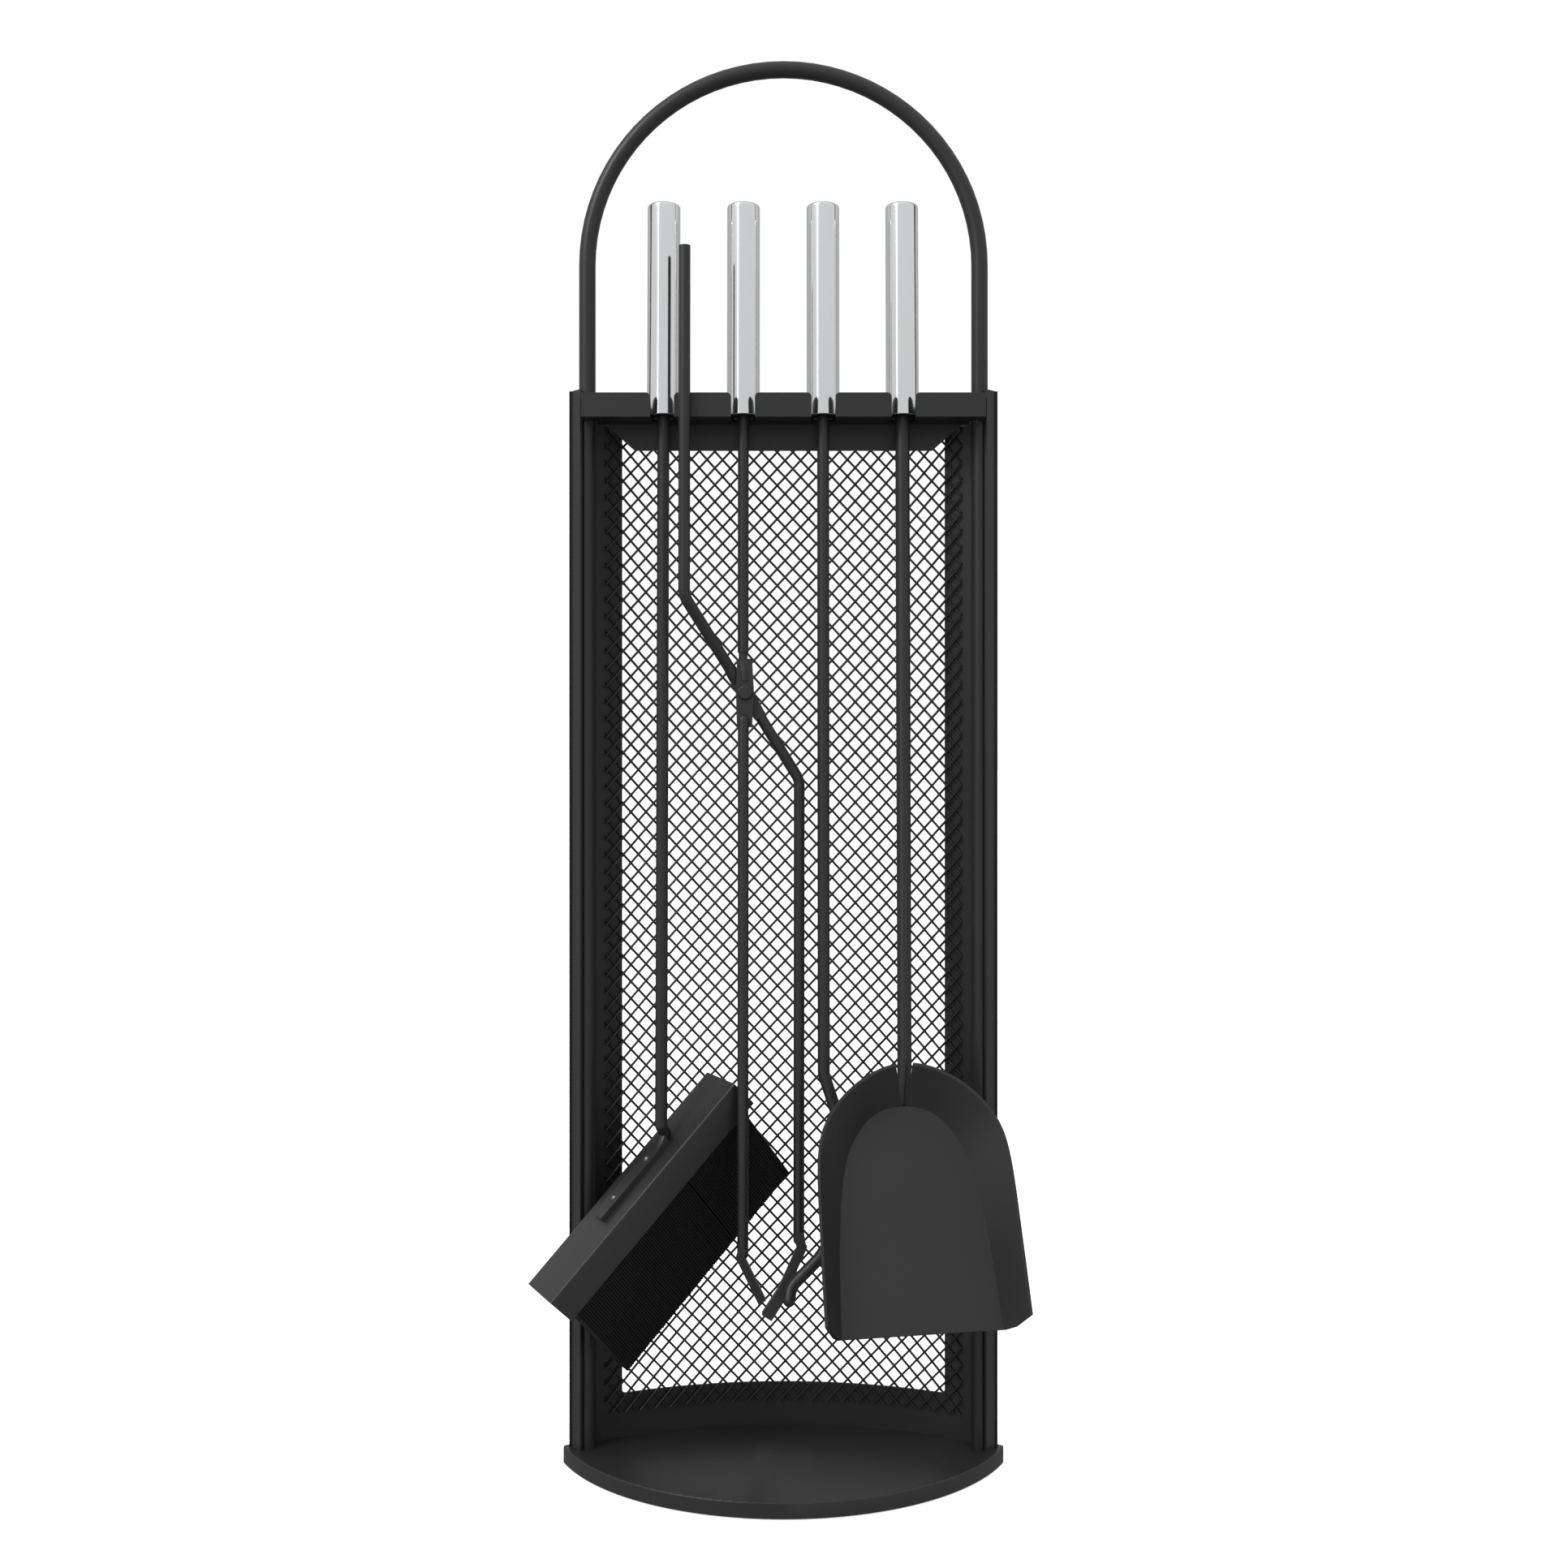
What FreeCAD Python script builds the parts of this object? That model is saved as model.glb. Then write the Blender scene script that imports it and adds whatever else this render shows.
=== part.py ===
import FreeCAD, Part
import math
import os

# Fireplace tool set: a curved stand with a carry handle and a notched hanger bar,
# and a brush, a pair of tongs, a poker and a shovel that hang from it.
# Millimetres. +Z is up, the front faces -Y, and the origin is on the floor,
# midway between the tips of the base.

Vec = FreeCAD.Vector
os.makedirs("parts", exist_ok=True)

# --- driving sizes: base tray ---
tip_x = 101.0                 # half width of the base at its tips
front_reach = 66.4            # how far the front edge bows out
tray_top = 7.5
tray_lift = 0.5               # rubber pads hold the rim off the floor
sheet = 1.2                   # sheet metal of panel and hanger
tray_sheet = 1.5
base_margin = 2.3             # base edge behind the panel

# --- back panel, window and mesh ---
panel_r = 175.0               # inside radius of the curved panel
panel_deep = 29.9             # inside surface of the panel at mid width
panel_x = 98.3                # half width at the outer fold
panel_top = 492.3
lip_x, lip_y = 92.8, -5.6     # free front edge of the folded side strip
window_x = 75.2
window_low, window_high = 27.8, 480.0
mesh_x = 82.0
mesh_low, mesh_high = 19.3, 484.0
mesh_thick = 0.5
mesh_gap = 0.9                # between the mesh's middle sheet and the panel

# --- carry handle ---
leg_x, leg_y = 90.05, 0.2
leg_r, leg_wall = 3.8, 1.25
arch_z = 550.0                # centre of the half circle

# --- hanger bar ---
hang_front, hang_back = -16.0, 6.6
hang_x = 91.4
shelf_low = 478.0
flange_top = 488.9
flange_low = 465.9
notch_w, notch_round = 10.8, 2.0
shelf_top = shelf_low + sheet

# --- tools ---
lean = 3.0                    # every tool hangs this far forward of plumb
hang_y = -5.0
tool_x = {"brush": -54.8, "tongs": -18.3, "poker": 18.1, "shovel": 54.3}
grip_r, grip_wall, grip_len = 7.5, 1.0, 98.0
cap_h, spigot_h, bush_h = 2.2, 6.0, 8.0
rod_top = grip_len - cap_h - spigot_h
foot_z = shelf_top + grip_r * math.sin(math.radians(lean)) + 0.06

panel_cy = panel_deep - panel_r
leg_out = leg_x + leg_r


def cyl(a, b, r):
    """Cylinder between two points."""
    a, b = Vec(*a), Vec(*b)
    return Part.makeCylinder(r, (b - a).Length, a, b - a)


def box(x0, x1, y0, y1, z0, z1):
    return Part.makeBox(x1 - x0, y1 - y0, z1 - z0, Vec(x0, y0, z0))


def prism(points, z0, z1):
    """Upright prism over a closed XY outline."""
    wire = Part.makePolygon([Vec(x, y, z0) for x, y in points + points[:1]])
    return Part.Face(wire).extrude(Vec(0, 0, z1 - z0))


def front_prism(points, y0, y1):
    """Prism along Y over a closed XZ outline."""
    wire = Part.makePolygon([Vec(x, y0, z) for x, z in points + points[:1]])
    return Part.Face(wire).extrude(Vec(0, y1 - y0, 0))


def mirror_x(shape):
    return shape.mirror(Vec(0, 0, 0), Vec(1, 0, 0))


def soften(shape, edges, size):
    """Round the edges, or leave them sharp where the kernel can't."""
    for r in (size, size * 0.6):
        try:
            out = shape.makeFillet(r, edges)
            if out.isValid() and len(out.Solids) == len(shape.Solids):
                return out
        except Part.OCCError:
            continue
    print("left sharp", len(edges))
    return shape


def fused(shapes):
    out = shapes[0].fuse(shapes[1:]) if len(shapes) > 1 else shapes[0]
    return out.removeSplitter()


def hang(shape, name):
    """Take a tool part from its own upright frame to the hanger bar."""
    out = shape.copy()
    out.rotate(Vec(0, 0, 0), Vec(1, 0, 0), -lean)
    out.translate(Vec(tool_x[name], hang_y, foot_z))
    return out


def unhang(point, name):
    """A point of the stand's frame, in a tool's own upright frame."""
    p = Vec(*point) - Vec(tool_x[name], hang_y, foot_z)
    turn = FreeCAD.Rotation(Vec(1, 0, 0), lean)
    return turn.multVec(p)


def bent_rod(points, r, bend):
    """Round rod through the points, each corner an arc of the bend radius."""
    pts = [Vec(*p) for p in points]
    edges = []
    start = pts[0]
    for i in range(1, len(pts) - 1):
        a = (pts[i - 1] - pts[i]).normalize()
        b = (pts[i + 1] - pts[i]).normalize()
        half = a.getAngle(b) / 2
        back = bend / math.tan(half)
        back = min(back, 0.45 * min((pts[i] - pts[i - 1]).Length, (pts[i + 1] - pts[i]).Length))
        used = back * math.tan(half)
        p, q = pts[i] + a * back, pts[i] + b * back
        axis = (a + b).normalize()
        mid = pts[i] + axis * (used / math.sin(half) - used)
        edges.append(Part.makeLine(start, p))
        edges.append(Part.Arc(p, mid, q).toShape())
        start = q
    edges.append(Part.makeLine(start, pts[-1]))
    ring = Part.Wire(Part.makeCircle(r, pts[0], pts[1] - pts[0]))
    return Part.Wire(edges).makePipeShell([ring], True, True)


def strip(a, b, width, thick):
    """Flat bar from a to b, its width along Y and its thickness square to both."""
    a, b = Vec(*a), Vec(*b)
    along = (b - a)
    side = along.cross(Vec(0, 1, 0)).normalize() * (thick / 2)
    w = Vec(0, width / 2, 0)
    ring = [a - side - w, a + side - w, a + side + w, a - side + w, a - side - w]
    return Part.Face(Part.makePolygon(ring)).extrude(along)


def sector(r0, r1, x_limit, z0, z1):
    """Slice of the panel's cylinder, cut off at plus and minus x_limit."""
    ring = Part.makeCylinder(r1, z1 - z0, Vec(0, panel_cy, z0))
    ring = ring.cut(Part.makeCylinder(r0, z1 - z0, Vec(0, panel_cy, z0)))
    return ring.common(box(-x_limit, x_limit, panel_cy + 60, 80, z0, z1))


def save(name, shape):
    shape.exportStep("parts/" + name + ".step")
    bb = shape.BoundBox
    print(f"{name:18s} solids {len(shape.Solids)} valid {shape.isValid()} volume {shape.Volume:9.1f}",
          f"x {bb.XMin:.1f} {bb.XMax:.1f} y {bb.YMin:.1f} {bb.YMax:.1f} z {bb.ZMin:.1f} {bb.ZMax:.1f}")


# ---- base tray: lens-shaped sheet tray on five rubber pads ----
back_r = panel_r + sheet + base_margin
front_r = (tip_x ** 2 + front_reach ** 2) / (2 * front_reach)


def lens(inset, z0, z1):
    rear = Part.makeCylinder(back_r - inset, z1 - z0, Vec(0, panel_cy, z0))
    fore = Part.makeCylinder(front_r - inset, z1 - z0, Vec(0, front_r - front_reach, z0))
    span = box(-tip_x + inset, tip_x - inset, -100, 60, z0, z1)
    return rear.common(fore).common(span)


tray = lens(0, tray_lift, tray_top).cut(lens(tray_sheet, tray_lift, tray_top - tray_sheet))
screw_hole = 2.65
for side in (-1, 1):
    tray = tray.cut(cyl((side * leg_x, leg_y, 0), (side * leg_x, leg_y, 20), screw_hole))
rim = [e for e in tray.Edges if abs(e.BoundBox.ZMin - tray_top) < 0.01 and e.BoundBox.YMin < -20]
tray = soften(tray, rim, 0.6)
save("base_tray", tray)

pad_r = 8.0
pad_spots = [(-72, -8), (72, -8), (-34, -44), (34, -44), (0, 6)]
pads = [cyl((x, y, 0), (x, y, tray_top - tray_sheet), pad_r) for x, y in pad_spots]
pads = [soften(p, [e for e in p.Edges if e.BoundBox.ZMax < 0.01], 0.8) for p in pads]
save("base_pads", Part.makeCompound(pads))

# ---- curved back panel with its window and the two folded side strips ----
panel = sector(panel_r, panel_r + sheet, panel_x, tray_top, panel_top)
fold_y = panel_cy + math.sqrt((panel_r + sheet) ** 2 - panel_x ** 2)
run = Vec(lip_x - panel_x, lip_y - fold_y, 0)
inward = Vec(run.y, -run.x, 0).normalize() * sheet
fold_pts = [(panel_x, fold_y), (lip_x, lip_y), (lip_x + inward.x, lip_y + inward.y),
            (panel_x + inward.x * 0.95, fold_y + inward.y * 0.95 + 0.35)]
side_strip = prism(fold_pts, tray_top, panel_top)
window = box(-window_x, window_x, -20, 80, window_low, window_high)
window = soften(window, [e for e in window.Edges if e.BoundBox.YLength > 99], 1.5)
panel = fused([panel.cut(window), side_strip, mirror_x(side_strip)])
save("back_panel", panel)

# ---- diamond wire mesh inside the window: one thin curved sheet stands for it ----
mesh = sector(panel_r - mesh_gap - mesh_thick, panel_r - mesh_gap, mesh_x, mesh_low, mesh_high)
save("mesh_screen", mesh)

# ---- carry handle: one bent tube, its legs running down to the tray ----


def arch_solid(r):
    ring = Part.Face(Part.Wire(Part.makeCircle(r, Vec(leg_x, leg_y, arch_z), Vec(0, 0, 1))))
    bow = ring.revolve(Vec(0, leg_y, arch_z), Vec(0, -1, 0), 180)
    legs = [cyl((s * leg_x, leg_y, tray_top), (s * leg_x, leg_y, arch_z), r) for s in (-1, 1)]
    return fused([bow] + legs)


save("carry_handle", arch_solid(leg_r).cut(arch_solid(leg_r - leg_wall)))

head_z = tray_top - tray_sheet
leg_screws = []
for side in (-1, 1):
    x = side * leg_x
    shank = cyl((x, leg_y, head_z), (x, leg_y, tray_top + 14), leg_r - leg_wall - 0.02)
    head = cyl((x, leg_y, head_z - 2.2), (x, leg_y, head_z), 4.2)
    slot = box(x - 5, x + 5, leg_y - 0.6, leg_y + 0.6, head_z - 2.3, head_z - 1.2)
    leg_screws.append(shank.fuse(head).cut(slot))
save("leg_screws", Part.makeCompound(leg_screws))

# ---- hanger bar: shelf, notched front flange, rear flange and end cheeks ----
leg_clear = leg_x - leg_r - 0.6
cheek_back = leg_y - leg_r - 0.7
shelf = box(-hang_x, hang_x, hang_front, cheek_back, shelf_low, shelf_top)
shelf = shelf.fuse(box(-leg_clear, leg_clear, cheek_back, hang_back, shelf_low, shelf_top))
front_flange = box(-hang_x, hang_x, hang_front, hang_front + sheet, shelf_low, flange_top)
rear_flange = front_prism([(-82.3, shelf_low), (82.3, shelf_low), (68.7, flange_low), (-68.7, flange_low)],
                          hang_back - sheet, hang_back)
cheek = box(hang_x - sheet, hang_x, hang_front, cheek_back, shelf_low, flange_top)
hanger = fused([shelf, front_flange, rear_flange, cheek, mirror_x(cheek)])
for x in tool_x.values():
    half = notch_w / 2
    slot = box(x - half, x + half, hang_front - 1, hang_y, shelf_low - 1, flange_top + 1)
    slot = slot.fuse(cyl((x, hang_y, shelf_low - 1), (x, hang_y, shelf_top + 1), half))
    for side in (-1, 1):
        edge = x + side * half
        round_x = edge + side * notch_round
        low = flange_top - notch_round
        corner = box(min(edge, round_x), max(edge, round_x), hang_front - 1, hang_front + 2, low, flange_top + 1)
        corner = corner.cut(cyl((round_x, hang_front - 2, low), (round_x, hang_front + 3, low), notch_round))
        slot = slot.fuse(corner)
    hanger = hanger.cut(slot)
save("hanger_bar", hanger)

# ---- the four identical tube grips: tube, domed end cap and foot bush ----


def grip(name, rod_r):
    tube = cyl((0, 0, 0), (0, 0, grip_len - cap_h), grip_r)
    tube = tube.cut(cyl((0, 0, -1), (0, 0, grip_len), grip_r - grip_wall))
    tube = soften(tube, [e for e in tube.Edges if e.BoundBox.ZMax < 0.01 and e.Length > 45], 0.3)
    cap = cyl((0, 0, grip_len - cap_h), (0, 0, grip_len), grip_r)
    cap = soften(cap, [e for e in cap.Edges if e.BoundBox.ZMin > grip_len - 0.01], 1.4)
    cap = cap.fuse(cyl((0, 0, rod_top), (0, 0, grip_len - cap_h), grip_r - grip_wall - 0.03)).removeSplitter()
    bush = cyl((0, 0, 0.5), (0, 0, 0.5 + bush_h), grip_r - grip_wall - 0.03)
    bush = bush.cut(cyl((0, 0, 0), (0, 0, 20), rod_r + 0.03))
    save(name + "_grip", hang(tube, name))
    save(name + "_cap", hang(cap, name))
    save(name + "_bush", hang(bush, name))


# ---- brush: rod with a flattened tongue, hardwood block, bristles, two screws ----
brush_rod_r = 2.75
block_len, block_w, block_t = 123.0, 31.2, 13.9
along = Vec(0.635, 0.290, 0.716).normalize()      # block's length, lower left to upper right
across = Vec(0.434, -0.901, -0.020)                  # block's width, towards the front
across = (across - along * across.dot(along)).normalize()
down = along.cross(across).normalize()           # the way the bristles point
if down.z > 0:
    down = down * -1
elbow_share, tongue_share = 0.70, 0.33           # where the tongue starts and ends
tongue_w, tongue_t = 9.5, 2.4
seat = Vec(-52.2, -18.1, 151.9)                  # on the block's top face, under the elbow
corner = seat - along * (elbow_share * block_len) - across * (block_w / 2)


def on_block(s, w, d):
    """Point on the brush block: along its length, across it, and down from the top face."""
    return corner + along * s + across * w + down * d


def hexa(low, high):
    """Solid between two four-cornered faces."""
    quads = [low, high] + [[low[i], low[(i + 1) % 4], high[(i + 1) % 4], high[i]] for i in range(4)]
    faces = []
    for q in quads:
        wire = Part.makePolygon(q + q[:1])
        try:
            faces.append(Part.Face(wire))
        except Part.OCCError:
            faces.append(Part.makeFilledFace(wire.Edges))
    solid = Part.Solid(Part.Shell(faces))
    if solid.Volume < 0:
        solid.reverse()
    return solid


def block_ring(s0, s1, w0, w1, d):
    return [on_block(s0, w0, d), on_block(s1, w0, d), on_block(s1, w1, d), on_block(s0, w1, d)]


grip("brush", brush_rod_r)
block = hexa(block_ring(0, block_len, 0, block_w, 0), block_ring(0, block_len, 0, block_w, block_t))
screw_at = [0.42 * block_len, 0.60 * block_len]
screw_r = 1.6
for s in screw_at:
    hole = cyl(tuple(on_block(s, block_w / 2, -1)), tuple(on_block(s, block_w / 2, 10)), screw_r - 0.45)
    block = block.cut(hole)
long_edges = [e for e in block.Edges if e.Length > block_len - 1]
block = soften(block, long_edges, 0.8)
save("brush_block", block)

bristle_len, bristle_in = 47.0, 2.5
bristle_from, bristle_to = 3.6, block_len - 5.5
bristle_trail = 3.1           # the tips lie this far back along the block
near_slant, far_slant = 17.0, 4.0
root_low, root_high = bristle_in, block_w - bristle_in
tip_high = root_high - bristle_len * math.tan(math.radians(near_slant))
tip_low = root_low - bristle_len * math.tan(math.radians(far_slant))
bristle_d = block_t + bristle_len * math.cos(math.radians(near_slant))
bristles = hexa(block_ring(bristle_from, bristle_to, root_low, root_high, block_t + 0.02),
                block_ring(bristle_from - bristle_trail, bristle_to - bristle_trail, tip_low, tip_high, bristle_d))
save("brush_bristles", bristles)

screw_rise = tongue_t + 0.05
brush_screws = []
for s in screw_at:
    top = on_block(s, block_w / 2, -screw_rise)
    head = Part.makeSphere(screw_r * 1.35, top + down * (screw_r * 1.35 * 0.55))
    above = Part.makeCylinder(6, 6, top, down * -1)
    head = head.common(above)
    shank = Part.makeCylinder(screw_r - 0.5, 9, top - down * 0.1, down)
    brush_screws.append(head.fuse(shank))
save("brush_screws", Part.makeCompound(brush_screws))

rise = Vec(down) * -(tongue_t / 2 + 0.03)
tongue_a = on_block(elbow_share * block_len, block_w / 2, 0) + rise
tongue_b = on_block(tongue_share * block_len, block_w / 2, 0) + rise
w_half, t_half = across * (tongue_w / 2), down * (tongue_t / 2)
ring = [tongue_a - w_half - t_half, tongue_a + w_half - t_half, tongue_a + w_half + t_half,
        tongue_a - w_half + t_half]
tongue = Part.Face(Part.makePolygon(ring + ring[:1])).extrude(tongue_b - tongue_a)
for s in screw_at:
    tongue = tongue.cut(cyl(tuple(on_block(s, block_w / 2, -4)), tuple(on_block(s, block_w / 2, 1)),
                            screw_r - 0.45))
rod_foot = tongue_a + along * 1.5 - down * 1.9
rod_local = unhang(tuple(rod_foot), "brush")
rod = hang(cyl((0, 0, rod_top), (0, 0, rod_local.z + 4), brush_rod_r), "brush")
link_top = hang(Part.Vertex(0, 0, rod_local.z + 4), "brush").Point
knee = Part.makeSphere(brush_rod_r, link_top)
link = cyl(tuple(link_top), tuple(rod_foot), brush_rod_r)
foot = Part.makeSphere(brush_rod_r, rod_foot)
flare_ring = Part.Wire(Part.makeCircle(brush_rod_r, rod_foot, tongue_b - tongue_a))
flare_b = tongue_a + (tongue_b - tongue_a).normalize() * 7
side_b = [flare_b - w_half - t_half, flare_b + w_half - t_half, flare_b + w_half + t_half,
          flare_b - w_half + t_half]
flare = Part.makeLoft([flare_ring, Part.makePolygon(side_b + side_b[:1])], True)
rod = fused([rod, knee, link, foot, flare, tongue])
save("brush_rod", rod)

# ---- tongs: a main arm in the grip, a second arm, and the rivet they turn on ----
arm_r, second_r = 2.5, 2.7
pivot = Vec(1.0, 0, -126.4)
plate_t, plate_gap, plate_w = 2.4, 0.1, 7.4
rivet_r = 2.0
front_y = -3.4                 # the main arm's lower rod stands forward of its grip
rear_y = 6.2                   # the second arm's lower rod stands behind it
fore_y = -14.7                 # the second arm's upper rod clears the hanger flange

grip("tongs", arm_r)
upper = cyl((0, 0, rod_top), (0, 0, -108), arm_r)
neck = bent_rod([(0, 0, -107), (0, 0, -111), (0.6, -1.3, -117), (0.9, -1.3, -121)], arm_r * 0.8, 2)
main_plate = front_prism([(-2.7, -111), (4.1, -111), (5.0, -126.4), (4.1, -142), (-2.7, -142), (-3.2, -126.4)],
                         -plate_gap / 2 - plate_t, -plate_gap / 2)
lower = cyl((0.2, front_y, -139), (0.2, front_y, -377), arm_r)
knuckles = [Part.makeSphere(arm_r, Vec(0.2, front_y, z)) for z in (-139, -377)]
claw_a = strip((-1.2, front_y, -377.5), (8.8, -0.4, -398.4), 6.0, 3.6)
claw_root = strip((0.2, front_y, -374), (-1.4, front_y, -379.5), 5.6, 3.4)
main_arm = fused([upper, neck, main_plate, lower] + knuckles + [claw_root, claw_a])
through = cyl((pivot.x, -8, pivot.z), (pivot.x, 12, pivot.z), rivet_r + 0.05)
main_arm = main_arm.cut(through).cut(box(-10, 10, -plate_gap / 2, 8, -142, -111.5))
save("tongs_main_arm", hang(main_arm, "tongs"))

bar_top = (-26.3, fore_y, 74.8)
bar_bend = (-26.1, fore_y, -84.0)
plate_mid_y = plate_gap / 2 + plate_t / 2
slope = Vec(51.8, 0, -81.6).normalize()
plate_up = pivot - slope * 11.5
plate_dn = pivot + slope * 11.5
low_bend = (25.5, rear_y, -165.6)
upper_rod = bent_rod([bar_top, bar_bend, (plate_up.x - 1.2, plate_mid_y - 1.5, plate_up.z + 1.9),
                      (plate_up.x + slope.x * 5, plate_mid_y, plate_up.z + slope.z * 5)], second_r * 0.98, 9)
ends = [plate_up - slope * 1.5, plate_dn + slope * 1.5]
cross_w = Vec(-slope.z, 0, slope.x) * (plate_w / 2)
plate_ring = [ends[0] - cross_w * 0.75, pivot - cross_w, ends[1] - cross_w * 0.75,
              ends[1] + cross_w * 0.75, pivot + cross_w, ends[0] + cross_w * 0.75]
second_plate = front_prism([(p.x, p.z) for p in plate_ring], plate_gap / 2, plate_gap / 2 + plate_t)
lower_rod = bent_rod([(plate_dn.x - slope.x * 5, plate_mid_y + 0.6, plate_dn.z - slope.z * 5),
                      (plate_dn.x + slope.x * 3, plate_mid_y + 1.4, plate_dn.z + slope.z * 3),
                      low_bend, (25.2, rear_y, -372.5)], arm_r, 8)
ankle = Part.makeSphere(arm_r, Vec(25.2, rear_y, -372.5))
claw_knee = strip((25.2, rear_y, -369), (26.6, rear_y - 0.4, -377), 5.6, 4.4)
claw_b = strip((27.1, rear_y - 0.5, -374.5), (18.0, 1.2, -393.5), 6.0, 4.2)
jaw_b = strip((20.4, 1.0, -390.8), (10.8, 0.2, -405.2), 6.4, 5.2)
second_arm = fused([upper_rod, second_plate, lower_rod, ankle, claw_knee, claw_b, jaw_b])
second_arm = second_arm.cut(through).cut(box(-3.6, 22, -10, plate_gap / 2, -150, -108))
save("tongs_second_arm", hang(second_arm, "tongs"))

rivet_end = plate_gap / 2 + plate_t + 0.05
rivet = cyl((pivot.x, -rivet_end - 1.2, pivot.z), (pivot.x, rivet_end + 1.2, pivot.z), rivet_r)
for sign in (-1, 1):
    disc = cyl((pivot.x, sign * rivet_end, pivot.z), (pivot.x, sign * (rivet_end + 1.3), pivot.z), rivet_r * 1.7)
    rim_edge = [e for e in disc.Edges if abs(abs(e.BoundBox.YMin) - rivet_end - 1.3) < 0.01
                and abs(abs(e.BoundBox.YMax) - rivet_end - 1.3) < 0.01]
    rivet = rivet.fuse(soften(disc, rim_edge, 0.9))
save("tongs_rivet", hang(rivet.removeSplitter(), "tongs"))

# ---- poker: one bent rod with a blunt hooked end ----
poker_r = 2.75
grip("poker", poker_r)
poker_path = [(0, 0, rod_top), (0, 0, -298), (5, -0.5, -313), (12, -3.2, -340.5), (9.0, -6.2, -362.0),
              (-2.6, -7.5, -378.3), (-14.7, -8.4, -390.2), (-15.6, -10.8, -395.8)]
poker = bent_rod(poker_path, poker_r, 9)
tip = Part.makeSphere(poker_r, Vec(*poker_path[-1]))
save("poker_rod", hang(fused([poker, tip]), "poker"))

# ---- shovel: rod with a tapered tang, and a pressed scoop ----
shank_r = 3.25
yaw, pitch = math.radians(12), math.radians(20)
scoop_side = Vec(math.cos(yaw), math.sin(yaw), 0)
scoop_fwd = Vec(math.sin(yaw), -math.cos(yaw), 0)
scoop_down = scoop_fwd * math.sin(pitch) + Vec(0, 0, -math.cos(pitch))
scoop_face = scoop_fwd * math.cos(pitch) + Vec(0, 0, math.sin(pitch))
scoop_at = Vec(52.6, -26.8, 169.8)
scoop_wide = 1.025             # share by which the outlines below are widened
wall_h, scoop_t = 14.0, 1.3
floor_half = [(8.1, 1.1), (15.6, 4.8), (21.7, 11.4), (26.0, 18.6), (29.0, 27.0), (31.3, 38.0), (33.4, 54.0),
              (35.1, 75.0), (36.6, 99.0)]
lip_half = [(9.0, -14.7), (18.5, -10.6), (27.8, -3.8), (35.2, 4.6), (40.0, 14.0), (42.6, 28.0), (43.6, 50.0),
            (44.2, 73.0), (44.7, 97.0)]


def scoop_wire(half, top_v, lift, inset, stretch=0.0):
    """U-shaped outline in the scoop's own plane, closed by a straight mouth."""
    pts = [(-u, v) for u, v in reversed(half)] + [(0.0, top_v)] + list(half)
    out = []
    for i, (u, v) in enumerate(pts):
        a, b = pts[max(i - 1, 0)], pts[min(i + 1, len(pts) - 1)]
        du, dv = b[0] - a[0], b[1] - a[1]
        size = math.hypot(du, dv)
        if i in (0, len(pts) - 1):
            v = v + stretch
        u, v = u * scoop_wide - dv / size * inset, v + du / size * inset
        out.append(scoop_at + scoop_side * u + scoop_down * v + scoop_face * lift)
    curve = Part.BSplineCurve()
    curve.interpolate(out)
    return Part.Wire([curve.toShape(), Part.makeLine(out[-1], out[0])])


def scoop_body(inset, lift0, lift1, stretch):
    return Part.makeLoft([scoop_wire(floor_half, 0.0, lift0, inset, stretch),
                          scoop_wire(lip_half, -16.0, lift1, inset, stretch)], True, True)


grip("shovel", shank_r)
outer = scoop_body(0.0, 0.0, wall_h, 0.0)
inner = scoop_body(scoop_t, scoop_t, wall_h + 0.02, 6.0)
scoop = outer.cut(inner)


def scoop_point(u, v, lift):
    return scoop_at + scoop_side * u + scoop_down * v + scoop_face * lift


# the walls are cut back at the mouth and notched at the top for the tang
trim_side = [scoop_point(-60, 100.2, 1.5), scoop_point(-60, 93.6, wall_h + 1), scoop_point(-60, 112, wall_h + 1)]
trim = Part.Face(Part.makePolygon(trim_side + trim_side[:1])).extrude(scoop_side * 120)
notch_mid, notch_foot, notch_top, notch_half = tool_x["shovel"] - 0.9, 169.2, 192.0, 4.2
notch = front_prism([(notch_mid - notch_half, notch_top), (notch_mid + notch_half, notch_top),
                     (notch_mid + 0.9, notch_foot), (notch_mid - 0.9, notch_foot)], -70, -10)
scoop = scoop.cut(trim).cut(notch)
save("shovel_scoop", max(scoop.Solids, key=lambda s: s.Volume))

tang_top, tang_tip_r = -295.2, 1.7
shank_end = hang(Part.Vertex(0, 0, tang_top), "shovel").Point
shank = hang(cyl((0, 0, rod_top), (0, 0, tang_top), shank_r), "shovel")
tang_foot = scoop_point(0, 3.5, -2.2)
lean_on = (tang_foot - shank_end)
tang = Part.makeCone(shank_r, tang_tip_r, lean_on.Length, shank_end, lean_on)
knob = Part.makeSphere(shank_r, shank_end)
save("shovel_rod", fused([shank, knob, tang]))
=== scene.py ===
import math

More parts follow.
